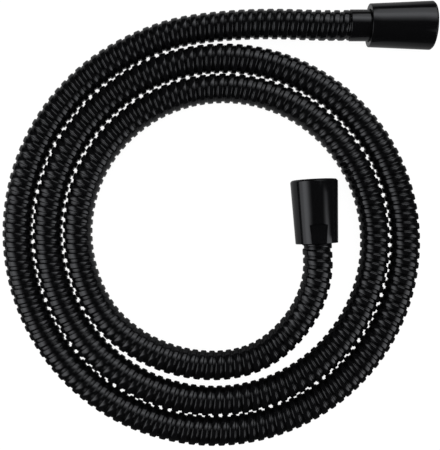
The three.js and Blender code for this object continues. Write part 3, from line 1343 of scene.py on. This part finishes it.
@dataclass
class HandsetFitting(Fitting):
    """The end that turns: a stem on two O-rings, held in a cup by a split ring."""

    sleeve_end: float = 41.9
    stem_radius: float = 5.7
    stem_end: float = 27.0
    cup_radius: float = 6.0
    cup_floor: float = 27.3
    cup_back: float = 29.3
    seal_depths: tuple[float, float] = (16.0, 19.4)
    seal_radius: float = 5.05
    seal_section: float = 0.65
    seal_floor: float = 4.1
    seal_groove: float = 1.9
    clip_depth: float = 23.55
    clip_thickness: float = 1.0
    clip_inner: float = 5.2
    clip_outer: float = 6.2
    clip_gap: float = 24.0
    clip_groove: float = 1.6
    clip_clearance: float = 0.3
    clip_edge: float = 0.12
    cup_groove: float = 0.5
    slip_start: float = 12.2
    slip_end: float = 13.2
    slip_edge: float = 0.15

    def spigot(self) -> None:
        """Make the flanged stem with its grooves."""
        corners = self.flange(self.stem_radius)
        for depth in self.seal_depths:
            corners += groove(self.stem_radius, self.seal_floor, depth, self.seal_groove)
        floor = self.clip_inner - self.clip_clearance
        corners += groove(self.stem_radius, floor, self.clip_depth, self.clip_groove)
        corners += [
            Corner(self.stem_radius, self.stem_end, 0.4),
            Corner(self.mouth_radius, self.stem_end, 0.2),
            Corner(self.mouth_radius, self.flange_depth, 0.3),
        ]
        self.add("swivel_stem", self.turned(corners), Slot.BRASS, Body.SPIGOT, "handset_spigot")

    def seals(self) -> None:
        """Make the two O-rings on the stem."""
        for side, depth in zip(("front", "rear"), self.seal_depths):
            mesh_data = revolve(ring_outline(self.seal_radius, depth, self.seal_section), self.axis, 80)
            self.add(f"stem_seal_{side}", mesh_data, Slot.SEALS, Body.SPIGOT, f"o_ring_{side}")

    def clip(self) -> None:
        """Make the split ring that keeps the stem in its cup."""
        front = self.clip_depth - self.clip_thickness / 2
        back = front + self.clip_thickness
        outline = rounded(band(self.clip_outer, self.clip_inner, front, back, self.clip_edge))
        gap = math.radians(self.clip_gap)
        ring = revolve(outline, self.axis, 72, sweep=FULL_TURN - gap, start=gap / 2)
        self.add("split_ring", ring, Slot.SPRING, Body.HOSE, "retaining_clip")

    def cup(self) -> None:
        """Make the cup that the stem turns in, with its barbed tail."""
        groove_floor = self.cup_radius + self.cup_groove
        mesh_data = self.turned([
            Corner(self.body_radius, self.sleeve_start, 0.2),
            Corner(self.body_radius, self.cup_back, 0.2),
            *self.barbs(self.cup_back),
            Corner(self.tail_bore, self.cup_floor, 0.2),
            Corner(self.cup_radius, self.cup_floor, 0.15),
            *groove(self.cup_radius, groove_floor, self.clip_depth, -self.clip_groove),
            Corner(self.cup_radius, self.sleeve_start, 0.3),
        ])
        self.add("swivel_cup", mesh_data, Slot.BRASS, Body.HOSE, "swivel_body")

    def slip_ring(self) -> None:
        """Make the plastic ring between the flange and the cup."""
        outline = band(self.sleeve_radius, self.cup_radius, self.slip_start, self.slip_end, self.slip_edge)
        self.add("slip_washer", self.turned(outline), Slot.PLASTIC, Body.HOSE, "slip_ring")

    def build(self) -> list[bpy.types.Object]:
        """Make the handset end without its nut."""
        self.washer("handset_seal_washer", Body.SPIGOT, "handset_washer")
        self.spigot()
        self.seals()
        self.clip()
        self.slip_ring()
        self.cup()
        self.sleeve("handset_crimp_sleeve", "handset_sleeve", self.sleeve_end, self.cup_back)
        return self.pieces


@dataclass
class OutletFitting(Fitting):
    """The plain end: a flanged tail, crimped in the hose."""

    sleeve_end: float = 31.0
    body_end: float = 16.5
    funnel: float = 1.0

    def tail(self) -> None:
        """Make the flanged, barbed tail."""
        mesh_data = self.turned([
            *self.flange(self.body_radius),
            Corner(self.body_radius, self.body_end, 0.2),
            *self.barbs(self.body_end),
            Corner(self.tail_bore, self.body_end, 0.3),
            Corner(self.mouth_radius, self.body_end - self.funnel, 0.3),
            Corner(self.mouth_radius, self.flange_depth, 0.3),
        ])
        self.add("outlet_flanged_tail", mesh_data, Slot.BRASS, Body.HOSE, "outlet_tail")

    def build(self) -> list[bpy.types.Object]:
        """Make the outlet end without its nut."""
        self.washer("outlet_seal_washer", Body.HOSE, "outlet_washer")
        self.tail()
        self.sleeve("outlet_crimp_sleeve", "outlet_sleeve", self.sleeve_end, self.body_end)
        return self.pieces


# The studio


def area_lamp(name: str, width: float, height: float, radiance: float) -> bpy.types.Object:
    """Add a rectangular lamp of a radiance, with its sides in metres."""
    data = bpy.data.lights.new(name, "AREA")
    data.shape = "RECTANGLE"
    data.size, data.size_y = width, height
    data.energy = radiance * math.pi * width * height
    return linked(name, data)


@dataclass(frozen=True)
class Softbox:
    """A soft lamp that faces the hose from one side, and is graded from its lower to its upper edge.

    The bearing is in degrees anticlockwise from +X, and half_width is how far its sides are from there.
    The glow's points are (elevation in degrees, share of the radiance), from the lower edge up.
    """

    name: str
    bearing: float
    half_width: float
    radiance: float
    glow: tuple[tuple[float, float], ...]
    side_fade: float = 0.12
    distance: float = 1.4

    @property
    def middle(self) -> float:
        """The elevation of its middle in radians."""
        return math.radians((self.glow[0][0] + self.glow[-1][0]) / 2)

    @property
    def half_angle(self) -> float:
        """Half the angle from its lower to its upper edge, in radians."""
        return math.radians((self.glow[-1][0] - self.glow[0][0]) / 2)

    def build(self, aim: Vector) -> None:
        """Make the lamp.

        Args:
            aim: The point that it faces, in metres.
        """
        bearing = math.radians(self.bearing)
        away = Vector((
            math.cos(self.middle) * math.cos(bearing),
            math.cos(self.middle) * math.sin(bearing),
            math.sin(self.middle),
        ))
        width = 2 * math.tan(math.radians(self.half_width)) * math.cos(self.middle) * self.distance
        height = 2 * math.tan(self.half_angle) * self.distance
        lamp = area_lamp(self.name, width, height, self.radiance)
        lamp.location = aim + away * self.distance
        lamp.rotation_euler = away.to_track_quat("Z", "Y").to_euler()
        lamp.visible_camera = False
        self.shade(lamp.data)

    def shade(self, data: bpy.types.AreaLight) -> None:
        """Grade the lamp over its face.

        Args:
            data: The lamp's data.
        """
        graph = cleared(data)
        face = graph.node("ShaderNodeNewGeometry").twin("Parametric")
        across = graph.node("ShaderNodeSeparateXYZ", inputs={"Vector": face})
        reach = 2 * math.tan(self.half_angle)
        stops = [
            (0.5 + math.tan(math.radians(elevation) - self.middle) / reach, share)
            for elevation, share in self.glow
        ]
        side = graph.math("MINIMUM", across, 1 - across)
        strength = graph.ramp(stops, across.twin("Y")) * (side / self.side_fade).clamp()
        graph.node("ShaderNodeOutputLight", inputs={"Surface": graph.glow(strength)})


@dataclass
class Studio:
    """The camera, the white floor and the lamps.

    In its graphs, seen is 1 for what the camera sees straight and 0 elsewhere.
    """

    picture_height: float = 450.0
    pixel: float = 0.51
    centre: tuple[float, float] = (1.40, -0.50)
    view_height: float = 360.0
    hose_height: float = 7.6
    sensor: float = 36.0
    floor_half: float = 3.0
    floor_white: float = 0.82
    floor_glow: float = 0.86
    floor_strength: float = 1.10
    floor_far_gain: float = 0.25
    floor_reflection: float = 0.34
    floor_centre: tuple[float, float, float] = (-0.05, 0.13, 0.0)
    floor_near: float = 0.145
    floor_fade: float = 0.07
    floor_far_share: float = 0.1
    surround: float = 0.02
    aim: tuple[float, float, float] = (0.0, 0.0, 0.01)
    softboxes: tuple[Softbox, ...] = (
        Softbox("softbox_back", 62, 34, 1.9, (
            (11, 0), (13, 0.45), (20, 0.55), (30, 0.66), (36, 0.75), (40, 1), (48, 1),
            (52, 0.85), (57, 0.6), (62, 0.36), (68, 0.17), (73, 0.06), (77, 0),
        )),
        Softbox("softbox_left", 195, 38, 1.9, (
            (5, 0), (8, 0.52), (14, 0.6), (24, 0.68), (30, 0.95), (33, 1), (42, 1),
            (47, 0.86), (53, 0.62), (58, 0.36), (63, 0.17), (68, 0.06), (72, 0),
        ), distance=0.65),
        Softbox("softbox_front", 333, 28, 1.7, (
            (7, 0), (9, 0.9), (15, 1), (32, 1), (40, 0.75), (48, 0.35), (55, 0.08), (60, 0),
        )),
    )
    fill_radiance: float = 1.8
    fill_size: float = 1.2
    fill_height: float = 1.5

    def camera(self) -> None:
        """Make the camera, straight above the coil."""
        data = bpy.data.cameras.new("camera")
        data.sensor_fit = "AUTO"
        data.sensor_width = self.sensor
        data.lens = self.sensor * self.view_height / (self.picture_height * self.pixel)
        camera = linked("camera", data)
        camera.location = Vector((*self.centre, self.hose_height + self.view_height)) * MM
        bpy.context.scene.camera = camera

    def floor(self) -> None:
        """Make the floor, white to the camera, and dimmer in reflections, most of all far from the coil."""
        half = self.floor_half
        mesh = bpy.data.meshes.new("floor")
        corners = [(-half, -half, 0), (half, -half, 0), (half, half, 0), (-half, half, 0)]
        mesh.from_pydata(corners, [], [(0, 1, 2, 3)])
        floor = linked("floor", mesh)
        material = bpy.data.materials.new("white_floor")
        graph = cleared(material)
        seen = graph.node("ShaderNodeLightPath")
        mirrored = seen.twin("Is Glossy Ray") + seen.twin("Is Transmission Ray")
        share = seen * self.floor_glow + mirrored
        place = graph.node("ShaderNodeTexCoord").twin("Object")
        distance = graph.vector("DISTANCE", place, self.floor_centre)
        near = (1.0 - (distance - self.floor_near) / self.floor_fade).clamp(self.floor_far_share, 1.0)
        far = (distance / self.floor_half).clamp() * self.floor_far_gain
        strength = seen * (far + self.floor_strength) + mirrored.clamp() * near * self.floor_reflection
        paper = graph.node("ShaderNodeBsdfDiffuse", inputs={"Color": opaque((self.floor_white,) * 3)})
        layers = {0: share.clamp(), 1: paper, 2: graph.glow(strength)}
        surface = graph.node("ShaderNodeMixShader", inputs=layers)
        graph.node("ShaderNodeOutputMaterial", inputs={"Surface": surface})
        floor.data.materials.append(material)

    def world(self) -> None:
        """Make the dark surround above the softboxes, white to the camera only."""
        world = bpy.data.worlds.new("surround")
        graph = cleared(world)
        seen = graph.node("ShaderNodeLightPath")
        strength = seen * (1 - self.surround) + self.surround
        glow = graph.node("ShaderNodeBackground", inputs={"Color": (1, 1, 1, 1), "Strength": strength})
        graph.node("ShaderNodeOutputWorld", inputs={"Surface": glow})
        bpy.context.scene.world = world

    def lamps(self) -> None:
        """Make the softboxes and the overhead fill, which makes no highlight."""
        for softbox in self.softboxes:
            softbox.build(Vector(self.aim))
        fill = area_lamp("overhead_fill", self.fill_size, self.fill_size, self.fill_radiance)
        fill.location = (0, 0, self.fill_height)
        fill.visible_glossy = False

    def build(self) -> None:
        """Make the whole studio."""
        bpy.context.scene.view_settings.view_transform = "Standard"
        self.camera()
        self.floor()
        self.world()
        self.lamps()


def main() -> None:
    """Build the studio, the hose and its fittings in order."""
    logging.basicConfig(level=logging.INFO, format="%(message)s")
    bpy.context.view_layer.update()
    Studio().build()
    finishes = Finishes()
    handset = Axis(Vector((108.4, 100.0, 12.0)), 180.0)
    outlet = Axis(Vector((48.7, 22.2, 12.0)), -87.35)

    outlet_pieces = OutletFitting(outlet, finishes).build()
    outlet_nut = UnionNut(
        "outlet_union_nut", "outlet_nut", outlet, Body.OUTLET_NUT, finishes, flatted=True
    ).build()
    hose = Hose(Route(handset, outlet), finishes)
    hose.casing([*outlet_pieces, outlet_nut])
    hose.liner()

    HandsetFitting(handset, finishes).build()
    UnionNut("handset_union_nut", "handset_nut", handset, Body.HANDSET_NUT, finishes).build()


if __name__ == "__main__":
    main()
